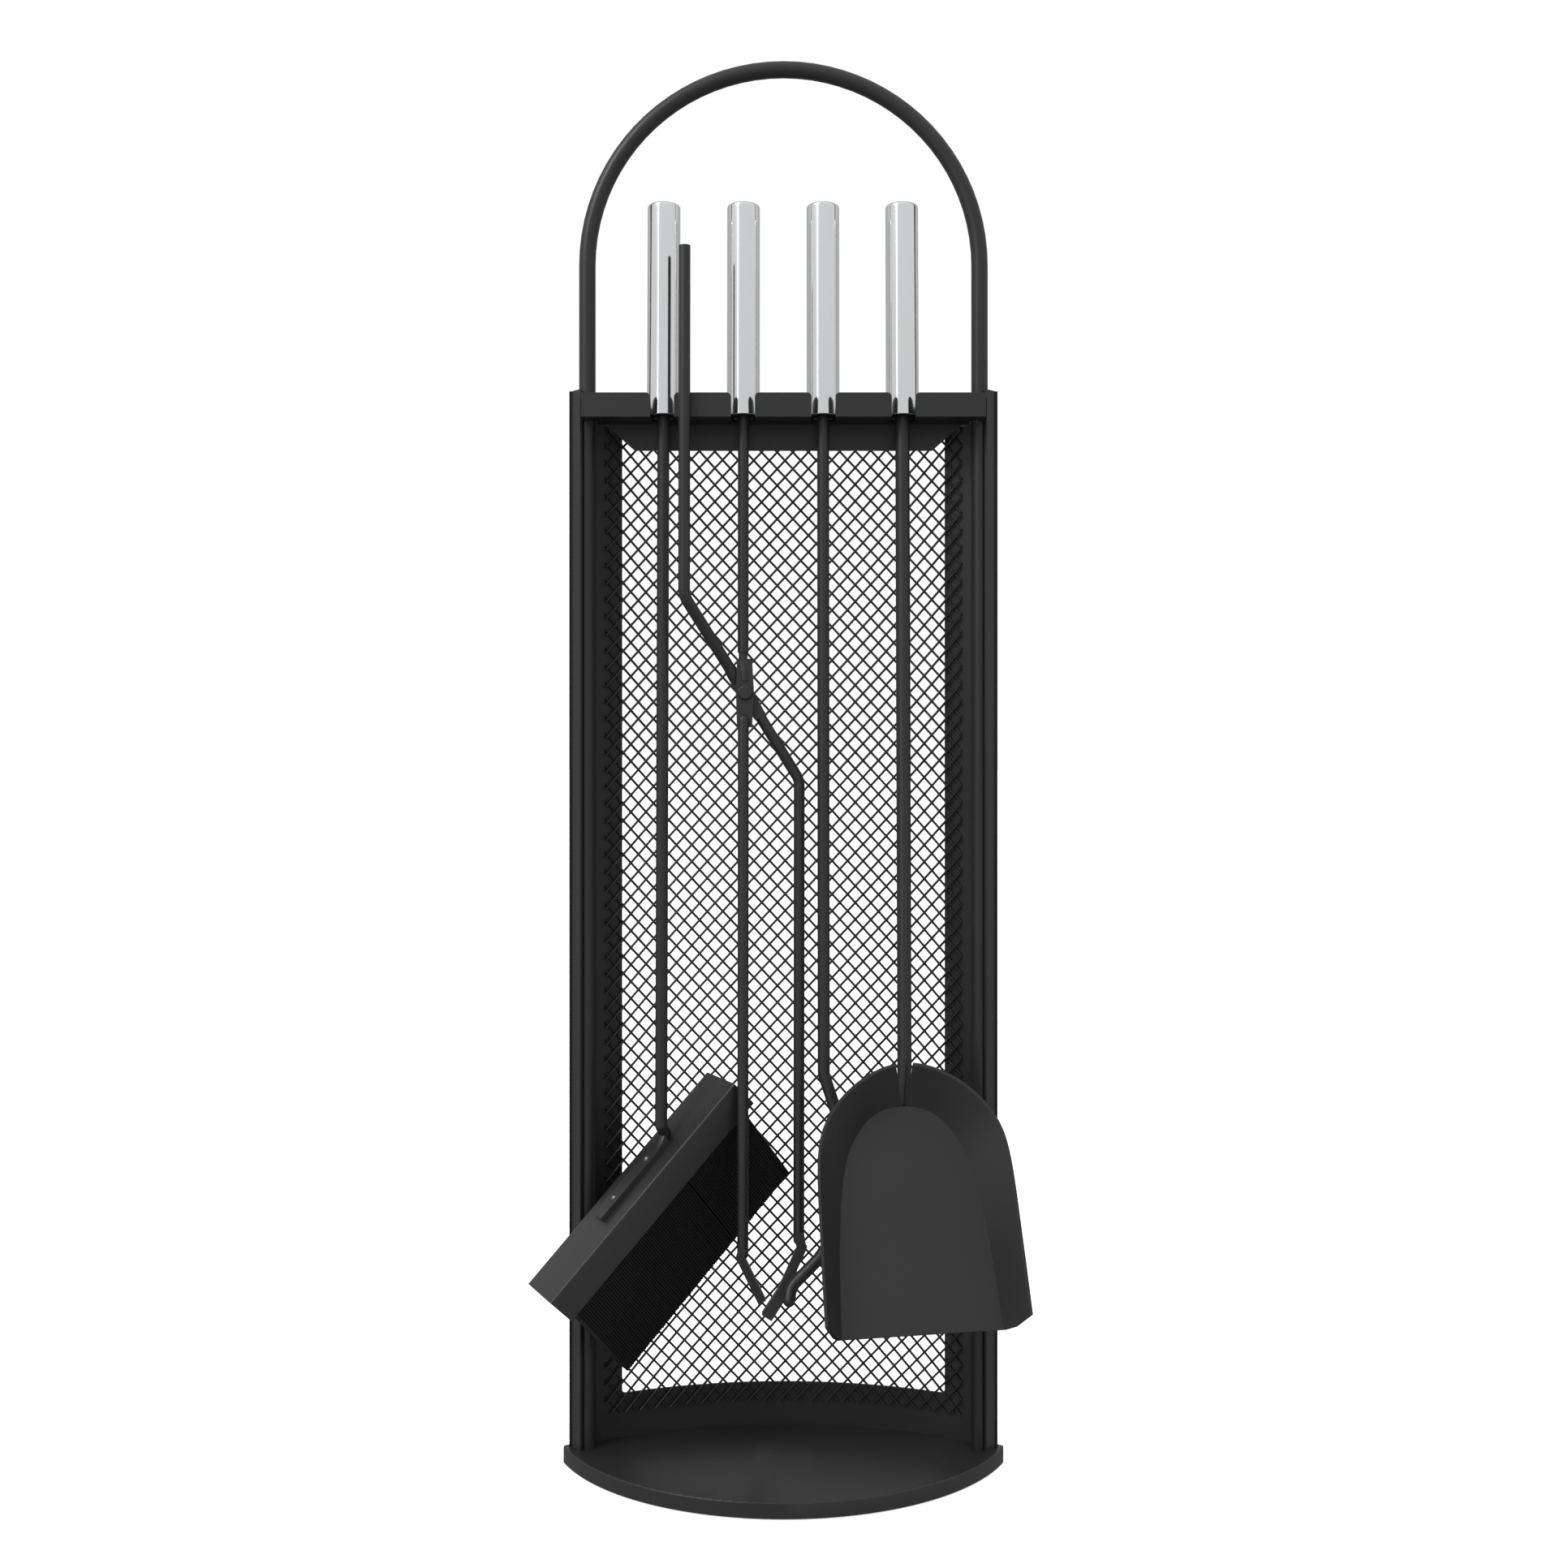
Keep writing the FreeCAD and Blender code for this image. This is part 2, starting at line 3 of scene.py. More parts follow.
import bpy
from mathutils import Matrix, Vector


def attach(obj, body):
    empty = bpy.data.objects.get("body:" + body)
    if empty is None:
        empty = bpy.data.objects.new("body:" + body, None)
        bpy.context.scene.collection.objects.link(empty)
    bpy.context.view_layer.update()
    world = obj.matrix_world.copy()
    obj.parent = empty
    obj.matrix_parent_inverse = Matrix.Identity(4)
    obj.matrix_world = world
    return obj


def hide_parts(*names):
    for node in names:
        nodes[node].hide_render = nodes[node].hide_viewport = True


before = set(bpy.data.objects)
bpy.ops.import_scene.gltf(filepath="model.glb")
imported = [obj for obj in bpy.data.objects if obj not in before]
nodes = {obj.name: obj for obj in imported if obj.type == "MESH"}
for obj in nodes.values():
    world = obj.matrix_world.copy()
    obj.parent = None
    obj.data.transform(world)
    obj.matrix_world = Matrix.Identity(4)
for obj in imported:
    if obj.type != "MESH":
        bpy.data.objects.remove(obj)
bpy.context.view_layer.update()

scene = bpy.context.scene
mm = 0.001
print("frame loaded:", len(nodes), "nodes")


# a socket that can stand in sums and products; each use adds its own Math node
class Signal:
    def __init__(self, bench, socket):
        self.bench = bench
        self.socket = socket

    def join(self, operation, first, second):
        return self.bench.add("ShaderNodeMath", {"operation": operation}, {0: first, 1: second})

    def __add__(self, other):
        return self.join("ADD", self, other)

    def __radd__(self, other):
        return self.join("ADD", other, self)

    def __sub__(self, other):
        return self.join("SUBTRACT", self, other)

    def __rsub__(self, other):
        return self.join("SUBTRACT", other, self)

    def __mul__(self, other):
        return self.join("MULTIPLY", self, other)

    def __rmul__(self, other):
        return self.join("MULTIPLY", other, self)

    def __truediv__(self, other):
        return self.join("DIVIDE", self, other)


# a node tree with one way to add any node: its type, its settings, then its sockets
class Bench:
    def __init__(self, tree):
        self.tree = tree

    def add(self, kind, settings=None, sockets=None, pick=0):
        node = self.tree.nodes.new(kind)
        for name, value in (settings or {}).items():
            if name == "stops":
                self.setStops(node.color_ramp, value)
            else:
                setattr(node, name, value)
        for name, value in (sockets or {}).items():
            self.plug(node.inputs[name], value)
        if pick == "each":                       # every output, by its name
            return {socket.name: Signal(self, socket) for socket in node.outputs if socket.name}
        return Signal(self, node.outputs[pick]) if len(node.outputs) else node

    def setStops(self, ramp, stops):
        for index, (place, shade) in enumerate(stops):
            stop = ramp.elements[index] if index < 2 else ramp.elements.new(place)
            stop.position = place
            stop.color = (shade, shade, shade, 1)

    def plug(self, socket, value):
        if isinstance(value, Signal):
            self.tree.links.new(value.socket, socket)
        elif isinstance(value, list):            # a socket that takes several links
            for part in value:
                self.plug(socket, part)
        else:
            socket.default_value = value

    def math(self, operation, *values):
        return self.add("ShaderNodeMath", {"operation": operation}, dict(enumerate(values)))


def startFinish(name):
    material = bpy.data.materials.new(name)
    material.use_nodes = True
    bench = Bench(material.node_tree)
    return material, bench, bench.add("ShaderNodeTexCoord", pick="Object")


def endFinish(material, bench, values):
    shader = material.node_tree.nodes["Principled BSDF"]
    for name, value in values.items():
        bench.plug(shader.inputs[name], value)
    return material


def grain(bench, place, scale, detail=2.0):
    return bench.add("ShaderNodeTexNoise", {}, {"Vector": place, "Scale": scale, "Detail": detail}, "Fac")


def tint(bench, mask, dark, light):
    return bench.add("ShaderNodeMix", {"data_type": "RGBA"}, {0: mask, 6: (*dark, 1), 7: (*light, 1)}, 2)


def bump(bench, height, spec):
    return bench.add("ShaderNodeBump", {}, {
        "Strength": spec["bumpStrength"], "Distance": spec["bumpDepth"], "Height": height})


powderCoat = {
    "dark": (0.0165, 0.0166, 0.017),
    "light": (0.0225, 0.0227, 0.023),
    "roughness": 0.40,
    "gloss": 0.42,
    "speckScale": 1700.0,
    "cloudScale": 22.0,
    "cloudDetail": 4.0,
    "cloudShare": 0.7,           # the rest of the colour's change is in the fine speck
    "cloudRoughness": 0.08,
    "speckRoughness": 0.06,
    "bumpStrength": 0.16,
    "bumpDepth": 0.06 * mm,
    "wireShade": 0.9,            # the wires are a little darker than the sheet
}


def makePowderCoat(name, spec, shade=1.0):
    material, bench, place = startFinish(name)
    speck = grain(bench, place, spec["speckScale"])
    cloud = grain(bench, place, spec["cloudScale"], spec["cloudDetail"])
    mix = cloud * spec["cloudShare"] + speck * (1 - spec["cloudShare"])
    dark = tuple(c * shade for c in spec["dark"])
    light = tuple(c * shade for c in spec["light"])
    smoothest = spec["roughness"] - (spec["cloudRoughness"] + spec["speckRoughness"]) / 2
    return endFinish(material, bench, {
        "Base Color": tint(bench, mix, dark, light),
        "Roughness": cloud * spec["cloudRoughness"] + speck * spec["speckRoughness"] + smoothest,
        "Specular IOR Level": spec["gloss"],
        "Normal": bump(bench, speck, spec),
    })


chromePlate = {
    "color": (0.82, 0.825, 0.835),
    "roughness": 0.13,
    "wear": 0.012,
    "hazeScale": 25.0,
    "hazeDetail": 1.0,
    "hazeStretch": (1, 1, 0.15),   # drawn out along the tube
}


def makeChrome(spec):
    material, bench, place = startFinish("chromePlate")
    stretched = bench.add("ShaderNodeMapping", {}, {"Vector": place, "Scale": spec["hazeStretch"]})
    haze = grain(bench, stretched, spec["hazeScale"], spec["hazeDetail"])
    return endFinish(material, bench, {
        "Base Color": (*spec["color"], 1),
        "Metallic": 1.0,
        "Roughness": haze * spec["wear"] + (spec["roughness"] - spec["wear"] / 2),
    })


# small parts: one colour, and a fine speck that varies the roughness from smoothest up by wear
zincScrew = {
    "color": (0.52, 0.52, 0.53),
    "metallic": 1.0,
    "speckScale": 900.0,
    "smoothest": 0.22,
    "wear": 0.2,
}
darkScrew = {
    "color": (0.14, 0.14, 0.145),
    "metallic": 1.0,
    "speckScale": 900.0,
    "smoothest": 0.26,
    "wear": 0.15,
}
bushPlastic = {
    "color": (0.016, 0.016, 0.017),
    "metallic": 0.0,
    "speckScale": 1500.0,
    "smoothest": 0.45,
    "wear": 0.1,
}
padRubber = {
    "color": (0.02, 0.02, 0.02),
    "metallic": 0.0,
    "speckScale": 1200.0,
    "smoothest": 0.72,
    "wear": 0.15,
    "bumpStrength": 0.2,
    "bumpDepth": 0.1 * mm,
}


def makeSmallFinish(name, spec):
    material, bench, place = startFinish(name)
    speck = grain(bench, place, spec["speckScale"])
    values = {
        "Base Color": (*spec["color"], 1),
        "Metallic": spec["metallic"],
        "Roughness": speck * spec["wear"] + spec["smoothest"],
    }
    if "bumpDepth" in spec:
        values["Normal"] = bump(bench, speck, spec)
    return endFinish(material, bench, values)


# the block and its own directions: along it, across it, and down the way the bristles point
brushBlock = {
    "length": 123 * mm,
    "width": 31.2 * mm,
    "thick": 13.9 * mm,
    "seat": Vector((-52.2, -18.1, 151.9)) * mm,
    "seatShare": 0.70,           # how far along the rod meets it
    "along": Vector((0.635, 0.290, 0.716)).normalized(),
    "towardsFront": Vector((0.434, -0.901, -0.020)),
}
blockAlong = brushBlock["along"]
blockAcross = brushBlock["towardsFront"] - blockAlong * brushBlock["towardsFront"].dot(blockAlong)
blockAcross.normalize()
blockDown = blockAlong.cross(blockAcross).normalized()
if blockDown.z > 0:
    blockDown.negate()
blockCorner = (brushBlock["seat"] - blockAlong * brushBlock["seatShare"] * brushBlock["length"]
               - blockAcross * brushBlock["width"] / 2)

blockPaint = {
    "dark": (0.014, 0.0142, 0.0145),
    "light": (0.021, 0.0213, 0.0217),
    "smoothest": 0.36,
    "wear": 0.12,
    "fibreScale": 900.0,
    "fibreDetail": 3.0,
    "fibreDrawn": 0.06,          # the wood's fibres are drawn out along the block
    "speckScale": 1500.0,
    "fibreShare": 0.7,
    "bumpStrength": 0.18,
    "bumpDepth": 0.08 * mm,
}


def makeBlockPaint(spec):
    material, bench, place = startFinish("blockPaint")

    def reach(direction):
        return bench.add("ShaderNodeVectorMath", {"operation": "DOT_PRODUCT"},
                         {0: place, 1: tuple(direction)}, "Value")

    spot = bench.add("ShaderNodeCombineXYZ", {},
                     {0: reach(blockAlong) * spec["fibreDrawn"], 1: reach(blockAcross), 2: reach(blockDown)})
    fibre = grain(bench, spot, spec["fibreScale"], spec["fibreDetail"])
    speck = grain(bench, place, spec["speckScale"])
    relief = fibre * spec["fibreShare"] + speck * (1 - spec["fibreShare"])
    return endFinish(material, bench, {
        "Base Color": tint(bench, fibre, spec["dark"], spec["light"]),
        "Roughness": fibre * spec["wear"] + spec["smoothest"],
        "Normal": bump(bench, relief, spec),
    })


bristleFibre = {
    "dark": (0.006, 0.006, 0.0062),
    "light": (0.012, 0.012, 0.0124),
    "gloss": 0.35,
    "smoothest": 0.4,
    "wear": 0.15,
    "toneScale": 260.0,
}


def makeBristleFibre(spec):
    material, bench, place = startFinish("bristleFibre")
    tone = grain(bench, place, spec["toneScale"])
    return endFinish(material, bench, {
        "Base Color": tint(bench, tone, spec["dark"], spec["light"]),
        "Roughness": tone * spec["wear"] + spec["smoothest"],
        "Specular IOR Level": spec["gloss"],
    })


blackCoatFinish = makePowderCoat("blackCoat", powderCoat)
wireFinish = makePowderCoat("wireCoat", powderCoat, powderCoat["wireShade"])
chromeFinish = makeChrome(chromePlate)
zincFinish = makeSmallFinish("zincScrew", zincScrew)
darkScrewFinish = makeSmallFinish("darkScrew", darkScrew)
rubberFinish = makeSmallFinish("padRubber", padRubber)
bushFinish = makeSmallFinish("bushPlastic", bushPlastic)
blockFinish = makeBlockPaint(blockPaint)
fibreFinish = makeBristleFibre(bristleFibre)
print("finishes made")


socketKinds = {float: "NodeSocketFloat", int: "NodeSocketInt", bpy.types.Material: "NodeSocketMaterial"}


# halfArc becomes Half Arc, the name of the tree's input
def labelOf(key):
    return "".join(" " + letter if letter.isupper() else letter for letter in key).title()


def startTree(name, inputs, reshapes=False):
    tree = bpy.data.node_groups.new(name, "GeometryNodeTree")
    face = tree.interface
    if reshapes:
        face.new_socket("Geometry", in_out="INPUT", socket_type="NodeSocketGeometry")
    for key, value in inputs.items():
        face.new_socket(labelOf(key), in_out="INPUT", socket_type=socketKinds[type(value)])
    face.new_socket("Geometry", in_out="OUTPUT", socket_type="NodeSocketGeometry")
    bench = Bench(tree)
    return tree, bench, bench.add("NodeGroupInput", pick="each")


def endTree(tree, bench, shape, finish):
    solid = bench.add("GeometryNodeRealizeInstances", {}, {"Geometry": shape})
    painted = bench.add("GeometryNodeSetMaterial", {}, {"Geometry": solid, "Material": finish})
    bench.add("NodeGroupOutput", {}, {"Geometry": painted})
    return tree


def setInputs(modifier, values):
    labels = {labelOf(key): value for key, value in values.items()}
    for item in modifier.node_group.interface.items_tree:
        if item.in_out == "INPUT" and item.name in labels:
            modifier[item.identifier] = labels[item.name]


# CAD pieces keep their shape and get a finish and rounded shading across shallow edges
evenShading = {"crease": math.radians(32), "mergeGap": 0.002 * mm}


def makeShadeTree(inputs):
    tree, bench, size = startTree("evenShading", inputs, True)
    merged = bench.add("GeometryNodeMergeByDistance", {},
                       {"Geometry": size["Geometry"], "Distance": size["Merge Gap"]})
    smooth = bench.add("GeometryNodeSetShadeSmooth", {"domain": "FACE"},
                       {"Geometry": merged, "Shade Smooth": True})
    angle = bench.add("GeometryNodeInputMeshEdgeAngle")
    shallow = bench.add("FunctionNodeCompare", {"data_type": "FLOAT", "operation": "LESS_THAN"},
                        {0: angle, 1: size["Crease"]})
    edged = bench.add("GeometryNodeSetShadeSmooth", {"domain": "EDGE"},
                      {"Geometry": smooth, "Shade Smooth": shallow})
    return endTree(tree, bench, edged, size["Finish"])


ownFinish = {
    "base_pads": rubberFinish,
    "leg_screws": zincFinish,
    "brush_screws": darkScrewFinish,
    "brush_block": blockFinish,
    "brush_bristles": fibreFinish,
    "mesh_screen": wireFinish,
}


def finishFor(name):
    if name.endswith(("_grip", "_cap")):
        return chromeFinish
    if name.endswith("_bush"):
        return bushFinish
    return ownFinish.get(name, blackCoatFinish)


shadeTree = makeShadeTree({**evenShading, "finish": blackCoatFinish})
for name, node in nodes.items():
    finish = finishFor(name)
    node.data.materials.clear()
    node.data.materials.append(finish)
    modifier = node.modifiers.new("evenShading", "NODES")
    modifier.node_group = shadeTree
    setInputs(modifier, {**evenShading, "finish": finish})
print("CAD pieces finished")


# strands are straight runs that a formula lays out: the wires of the mesh and the brush's fibres
def layStrands(bench, points, run, count):
    line = bench.add("GeometryNodeCurvePrimitiveLine", {}, {"End": run})
    strands = bench.add("GeometryNodeInstanceOnPoints", {}, {"Points": points, "Instance": line})
    strands = bench.add("GeometryNodeRealizeInstances", {}, {"Geometry": strands})
    return bench.add("GeometryNodeResampleCurve", {}, {"Curve": strands, "Count": count})


def store(bench, points, label, value):
    return bench.add("GeometryNodeStoreNamedAttribute", {"data_type": "FLOAT", "domain": "POINT"},
                     {"Geometry": points, "Name": label, "Value": value})


def stored(bench, label):
    return bench.add("GeometryNodeInputNamedAttribute", {"data_type": "FLOAT"}, {"Name": label})


def thicken(bench, strands, radius, sides):
    ring = bench.add("GeometryNodeCurvePrimitiveCircle", {}, {"Resolution": sides, "Radius": radius})
    return bench.add("GeometryNodeCurveToMesh", {},
                     {"Curve": strands, "Profile Curve": ring, "Fill Caps": True})


def endStrandTree(tree, bench, shapes, finish):
    joined = bench.add("GeometryNodeJoinGeometry", {}, {"Geometry": shapes})
    smooth = bench.add("GeometryNodeSetShadeSmooth", {"domain": "FACE"},
                       {"Geometry": joined, "Shade Smooth": True})
    return endTree(tree, bench, smooth, finish)


def bakeTree(name, tree, inputs):
    holder = bpy.data.objects.new(name + "Holder", bpy.data.meshes.new(name + "Holder"))
    scene.collection.objects.link(holder)
    modifier = holder.modifiers.new(name, "NODES")
    modifier.node_group = tree
    setInputs(modifier, inputs)
    graph = bpy.context.evaluated_depsgraph_get()
    graph.update()
    mesh = bpy.data.meshes.new_from_object(holder.evaluated_get(graph))
    holder.modifiers.clear()
    bpy.data.objects.remove(holder)
    for extra in [a.name for a in mesh.attributes if a.name.startswith("strand")]:
        mesh.attributes.remove(mesh.attributes[extra])
    piece = bpy.data.objects.new(name, mesh)
    scene.collection.objects.link(piece)
    print(name, "made:", len(mesh.polygons), "faces")
    return piece


meshScreen = {
    "halfArc": 85.6 * mm,        # measured round the curve
    "low": 19.3 * mm,
    "high": 484.0 * mm,
    "pitchAcross": 7.41 * mm,
    "pitchUp": 7.90 * mm,
    "startAcross": -2.9 * mm,    # two wires cross at this place
    "startUp": 326.5 * mm,
    "bendRadius": 173.85 * mm,
    "bendCentre": -145.1 * mm,
    "layerGap": 0.98 * mm,
    "wireRadius": 0.55 * mm,
    "wireSides": 6,
    "bendPoints": 26,            # points along each wire, so that it follows the curve
    "shortest": 1.5 * mm,        # a wire that only nicks a corner is left out
    "margin": 10.0 * mm,         # wires start this far below the lowest that can show
    "finish": wireFinish,
}


def makeScreenTree(inputs):
    tree, bench, size = startTree("diamondScreen", inputs)
    slope = size["Pitch Up"] / size["Pitch Across"]
    rise = slope * size["Half Arc"]
    height = size["High"] - size["Low"]
    count = bench.math("CEIL", (height + rise * 2 + size["Margin"] * 2) / size["Pitch Up"])
    families = []
    for way in (1.0, -1.0):                # one family leans right, the other left
        points = bench.add("GeometryNodePoints", {}, {"Count": count})
        lowest = size["Low"] - rise - size["Start Up"] - size["Margin"]
        step = bench.add("GeometryNodeInputIndex") + bench.math("FLOOR", lowest / size["Pitch Up"])
        points = store(bench, points, "strandStep", step)
        through = size["Start Up"] + stored(bench, "strandStep") * size["Pitch Up"]

        def acrossAt(level):
            return size["Start Across"] + (level - through) / slope * way

        def kept(value):
            capped = bench.math("MINIMUM", value, size["Half Arc"])
            return bench.math("MAXIMUM", capped, size["Half Arc"] * -1.0)

        atLow = kept(acrossAt(size["Low"]))
        atHigh = kept(acrossAt(size["High"]))
        tooShort = bench.add("FunctionNodeCompare", {"data_type": "FLOAT", "operation": "LESS_THAN"},
                             {0: bench.math("ABSOLUTE", atLow - atHigh), 1: size["Shortest"]})
        points = bench.add("GeometryNodeDeleteGeometry", {"domain": "POINT"},
                           {"Geometry": points, "Selection": tooShort})
        wires = layStrands(bench, points, (1, 0, 0), size["Bend Points"])
        share = bench.add("GeometryNodeSplineParameter")
        across = atLow + (atHigh - atLow) * share
        up = through + (across - size["Start Across"]) * slope * way
        radius = size["Bend Radius"] - size["Layer Gap"] * (way / 2)
        turn = across / size["Bend Radius"]
        place = bench.add("ShaderNodeCombineXYZ", {}, {
            0: bench.math("SINE", turn) * radius,
            1: bench.math("COSINE", turn) * radius + size["Bend Centre"],
            2: up,
        })
        wires = bench.add("GeometryNodeSetPosition", {}, {"Geometry": wires, "Position": place})
        families.append(thicken(bench, wires, size["Wire Radius"], size["Wire Sides"]))
    return endStrandTree(tree, bench, families, size["Finish"])


diamondMesh = bakeTree("diamondMesh", makeScreenTree(meshScreen), meshScreen)
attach(diamondMesh, "stand")
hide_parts("mesh_screen")


# rows of fibres set in the block, in two groups with a thin gap between them
bristles = {
    "from": 3.6 * mm,            # where the tufts start along the block, and where they end
    "to": 117.5 * mm,
    "trail": 3.1 * mm,           # the tips lie this far back along the block
    "setIn": 2.5 * mm,
    "length": 47.0 * mm,
    "nearSlant": math.radians(17),
    "farSlant": math.radians(4),
    "fibreRadius": 0.66 * mm,
    "fibreSides": 5,
    "bendPoints": 3,
    "taper": 0.06,
    "spacing": 1.18 * mm,
    "rows": 19,
    "jitter": 0.07 * mm,
    "splitShare": 0.65,          # how far along the gap between the two groups is
    "splitGap": 0.5 * mm,
    "rootGap": 0.02 * mm,        # between the fibres' roots and the block
    "tipGap": 0.1 * mm,          # the tips stop this far short of the full length
    "seed": 7,
}


def bristleInputs(spec):
    run = spec["to"] - spec["from"] - 2 * spec["fibreRadius"]
    return {
        "run": run,
        "spread": brushBlock["width"] - 2 * spec["setIn"] - 2 * spec["fibreRadius"],
        "depth": spec["length"] * math.cos(spec["nearSlant"]) - spec["tipGap"],
        "lowDrift": -spec["length"] * math.tan(spec["farSlant"]),
        "highDrift": -spec["length"] * math.tan(spec["nearSlant"]),
        "trail": spec["trail"],
        "fibreRadius": spec["fibreRadius"],
        "fibreSides": spec["fibreSides"],
        "bendPoints": spec["bendPoints"],
        "taper": spec["taper"],
        "jitter": spec["jitter"],
        "splitShare": spec["splitShare"],
        "splitGap": spec["splitGap"],
        "columns": int(run / spec["spacing"]),
        "rows": spec["rows"],
        "seed": spec["seed"],
        "finish": fibreFinish,
    }


def makeBristleTree(inputs):
    tree, bench, size = startTree("brushBristles", inputs)
    points = bench.add("GeometryNodePoints", {}, {"Count": size["Columns"] * size["Rows"]})
    index = bench.add("GeometryNodeInputIndex")
    # the half keeps a whole column from being rounded down
    column = bench.math("FLOOR", (index + 0.5) / size["Rows"])
    row = index - column * size["Rows"]
    points = store(bench, points, "strandAlong", column / (size["Columns"] - 1))
    points = store(bench, points, "strandAcross", row / (size["Rows"] - 1))
    for offset, label in enumerate(("strandShiftA", "strandShiftB", "strandShiftC")):
        chance = bench.add("FunctionNodeRandomValue", {"data_type": "FLOAT"},
                           {"Min": -1.0, "Max": 1.0, "Seed": size["Seed"] + offset}, 1)
        points = store(bench, points, label, chance)
    fibres = layStrands(bench, points, (0, 0, 1), size["Bend Points"])
    share = bench.add("GeometryNodeSplineParameter")
    along = stored(bench, "strandAlong")
    acrossShare = stored(bench, "strandAcross")

    def shift(label):
        return stored(bench, label) * size["Jitter"]

    shove = (bench.math("GREATER_THAN", along, size["Split Share"]) - 0.5) * size["Split Gap"]
    run = along * size["Run"] + shove + shift("strandShiftA") * share
    run = run - size["Trail"] * share
    drift = size["Low Drift"] + (size["High Drift"] - size["Low Drift"]) * acrossShare
    across = acrossShare * size["Spread"] + drift * share
    across = across + shift("strandShiftB") * share
    depth = (size["Depth"] + shift("strandShiftC") * 2.0 - size["Jitter"] * 2.0) * share
    place = bench.add("ShaderNodeCombineXYZ", {}, {0: run, 1: across, 2: depth})
    fibres = bench.add("GeometryNodeSetPosition", {}, {"Geometry": fibres, "Position": place})
    fibres = bench.add("GeometryNodeSetCurveRadius", {},
                       {"Curve": fibres, "Radius": 1.0 - share * size["Taper"]})
    tubes = thicken(bench, fibres, size["Fibre Radius"], size["Fibre Sides"])
    return endStrandTree(tree, bench, [tubes], size["Finish"])


# the tree lays the fibres out flat, and this sets them in the leaning block
def setInBlock(mesh, root):
    for vertex in mesh.vertices:
        run, across, depth = vertex.co + root
        vertex.co = blockCorner + blockAlong * run + blockAcross * across + blockDown * depth


tuftInputs = bristleInputs(bristles)
bristleTufts = bakeTree("bristleTufts", makeBristleTree(tuftInputs), tuftInputs)
setInBlock(bristleTufts.data, Vector((
    bristles["from"] + bristles["fibreRadius"],
    bristles["setIn"] + bristles["fibreRadius"],
    brushBlock["thick"] + bristles["rootGap"],
)))
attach(bristleTufts, "brush")
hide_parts("brush_bristles")


# the studio isn't part of the object
studio = {
    "cameraAt": (0.0, -0.8945, 0.328),
    "lens": 44.72,
    "rise": -0.02226,
    "slide": 0.00036,
    "nearest": 0.01,
    "farthest": 100,
    "floorTone": 0.9,
    "floorRoughness": 0.9,
    "floorGlow": 0.55,
    "floorSize": 60,
    "heightTones": [(0.0, 0.28), (0.42, 0.48), (0.52, 0.68), (1.0, 0.95)],   # the room from below to above
    # the room from in front to behind
    "roundTones": [(0.0, 0.95), (0.30, 0.95), (0.52, 0.98), (0.85, 0.6), (1.0, 0.7)],
    "lampsAimAt": (0, 0, 0.3),
    "lamps": {
        "stripLamp": {"at": (-1.32, -1.63, 0.75), "wide": 0.22, "tall": 2.4, "power": 2.6, "mirrored": True},
        "keyLamp": {"at": (-1.5, -1.3, 2.0), "wide": 0.9, "tall": 0.9, "power": 26.0, "mirrored": True},
        "topLamp": {"at": (0.1, -0.6, 2.2), "wide": 1.2, "tall": 1.2, "power": 12.0, "mirrored": False},
    },
}


def makeFloor(spec):
    bpy.ops.mesh.primitive_plane_add(size=spec["floorSize"], location=(0, 0, 0))
    floor = bpy.context.object
    floor.name = "studioFloor"
    material, bench, place = startFinish("studioPaper")
    tone = spec["floorTone"]
    floor.data.materials.append(endFinish(material, bench, {
        "Base Color": (tone, tone, tone, 1),
        "Roughness": spec["floorRoughness"],
        "Specular IOR Level": 0.0,
        "Emission Color": (1, 1, 1, 1),
        "Emission Strength": spec["floorGlow"],
    }))
    floor.visible_diffuse = False
    floor.visible_glossy = False


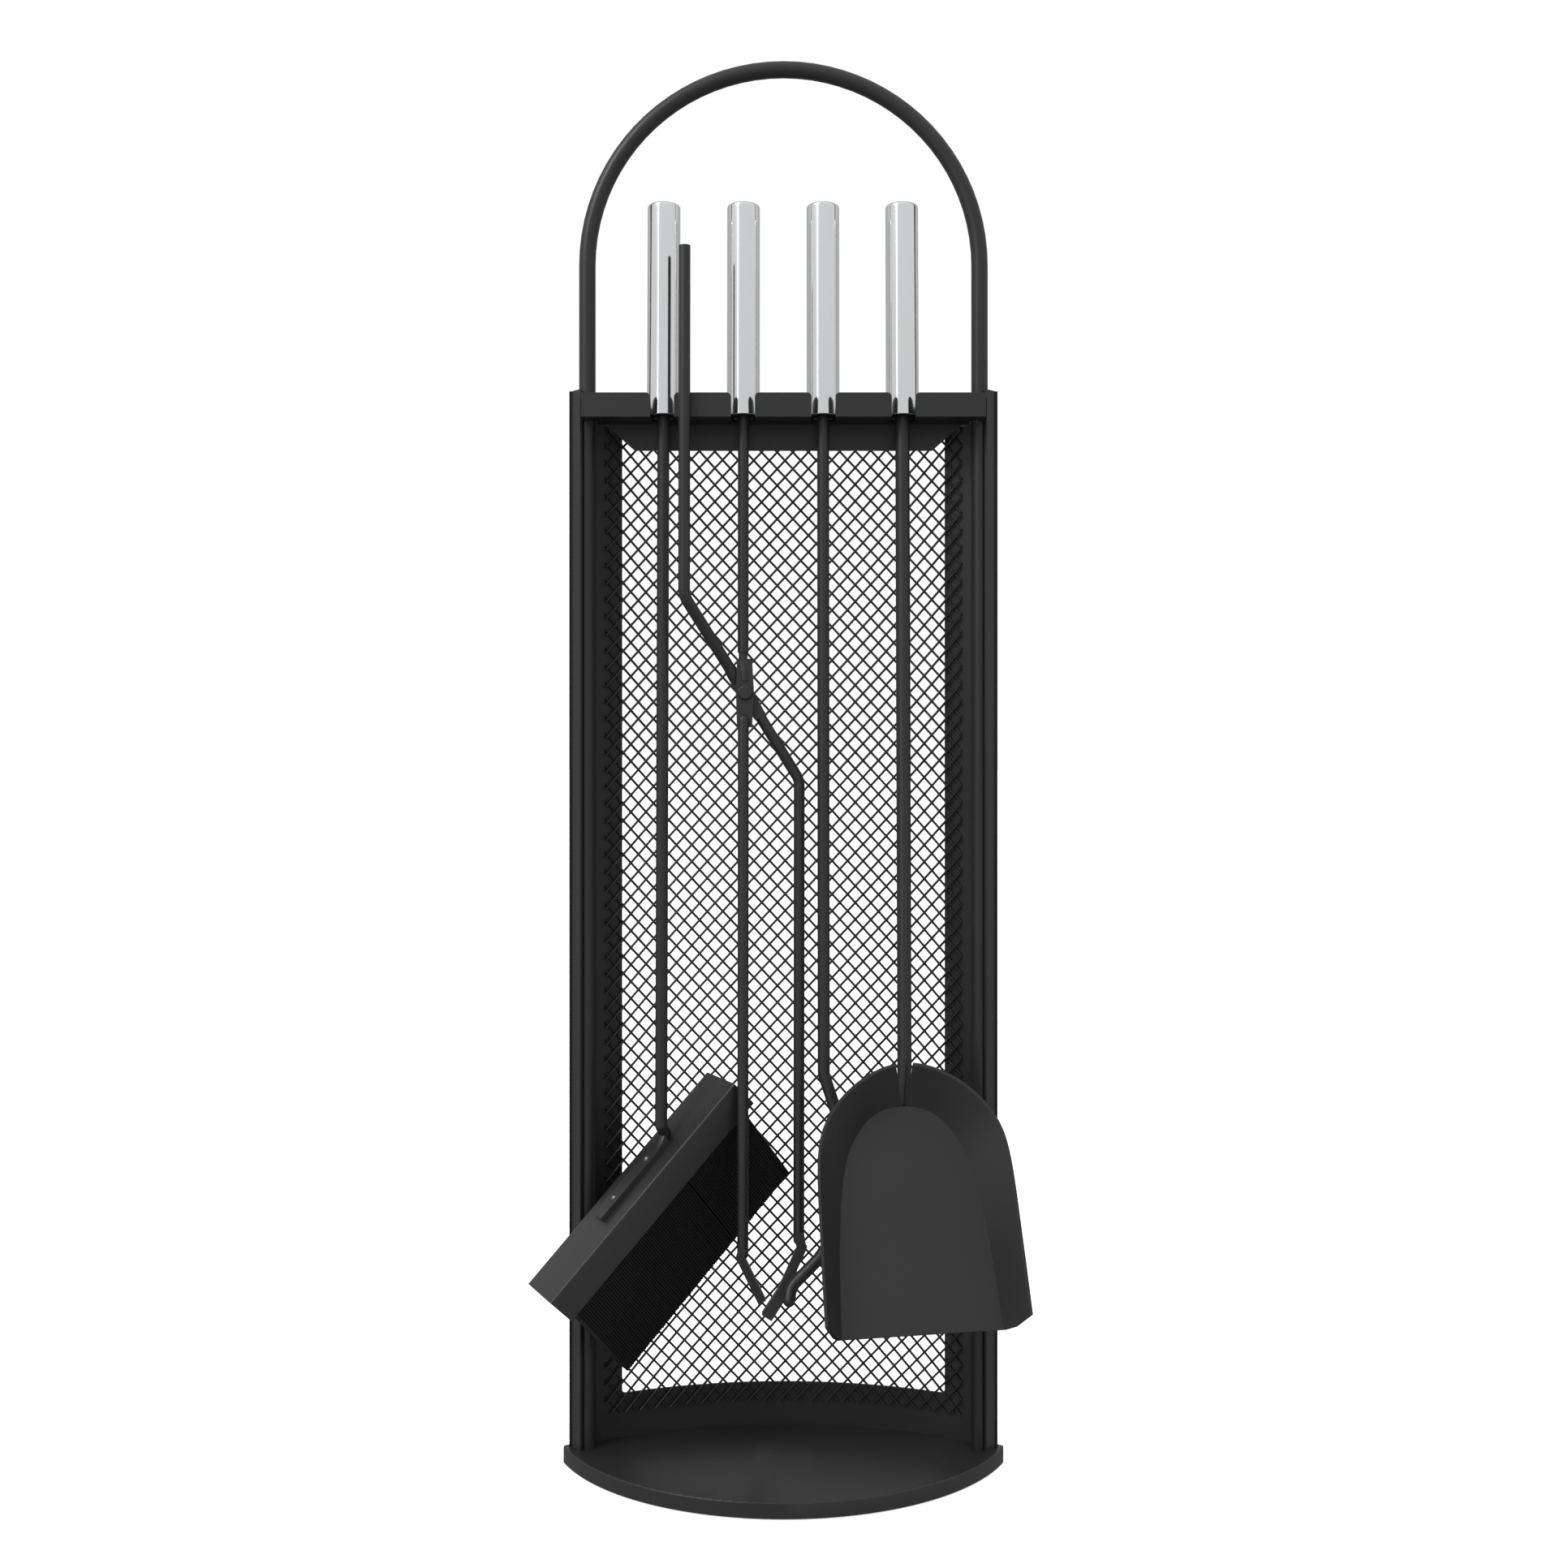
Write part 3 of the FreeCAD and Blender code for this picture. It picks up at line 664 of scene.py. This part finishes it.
def makeCamera(spec):
    camera = bpy.data.objects.new("studioCamera", bpy.data.cameras.new("studioCamera"))
    scene.collection.objects.link(camera)
    camera.location = spec["cameraAt"]
    camera.rotation_euler = (math.radians(90), 0, 0)
    camera.data.lens = spec["lens"]
    camera.data.shift_x = spec["slide"]
    camera.data.shift_y = spec["rise"]
    camera.data.clip_start = spec["nearest"]
    camera.data.clip_end = spec["farthest"]
    scene.camera = camera


def makeLamp(name, spec, aimAt):
    lamp = bpy.data.lights.new(name, "AREA")
    lamp.shape = "RECTANGLE"
    lamp.size = spec["wide"]
    lamp.size_y = spec["tall"]
    lamp.energy = spec["power"]
    holder = bpy.data.objects.new(name, lamp)
    scene.collection.objects.link(holder)
    holder.location = spec["at"]
    holder.rotation_mode = "QUATERNION"
    holder.rotation_quaternion = (Vector(spec["at"]) - Vector(aimAt)).to_track_quat("Z", "Y")
    holder.visible_glossy = spec["mirrored"]


# a plain white background, and a grey room for the object to reflect
def makeRoom(spec):
    world = bpy.data.worlds.new("studioWorld")
    world.use_nodes = True
    scene.world = world
    bench = Bench(world.node_tree)
    background = world.node_tree.nodes["Background"]
    seen = bench.add("ShaderNodeLightPath", pick="Is Camera Ray")
    look = bench.add("ShaderNodeTexCoord", pick="Generated")
    way = bench.add("ShaderNodeSeparateXYZ", {}, {0: look}, "each")
    height = bench.add("ShaderNodeValToRGB", {"stops": spec["heightTones"]}, {"Fac": way["Z"] * 0.5 + 0.5})
    around = bench.add("ShaderNodeValToRGB", {"stops": spec["roundTones"]}, {"Fac": way["Y"] * 0.5 + 0.5})
    tone = bench.add("ShaderNodeMix", {"data_type": "RGBA", "blend_type": "MULTIPLY"},
                     {0: 1.0, 6: height, 7: around}, 2)
    shown = bench.add("ShaderNodeMix", {"data_type": "RGBA"}, {0: seen, 6: tone, 7: (1, 1, 1, 1)}, 2)
    bench.plug(background.inputs["Color"], shown)
    scene.view_settings.view_transform = "Standard"
    scene.view_settings.look = "None"


makeFloor(studio)
makeCamera(studio)
for name, lampSpec in studio["lamps"].items():
    makeLamp(name, lampSpec, studio["lampsAimAt"])
makeRoom(studio)
print("studio set")
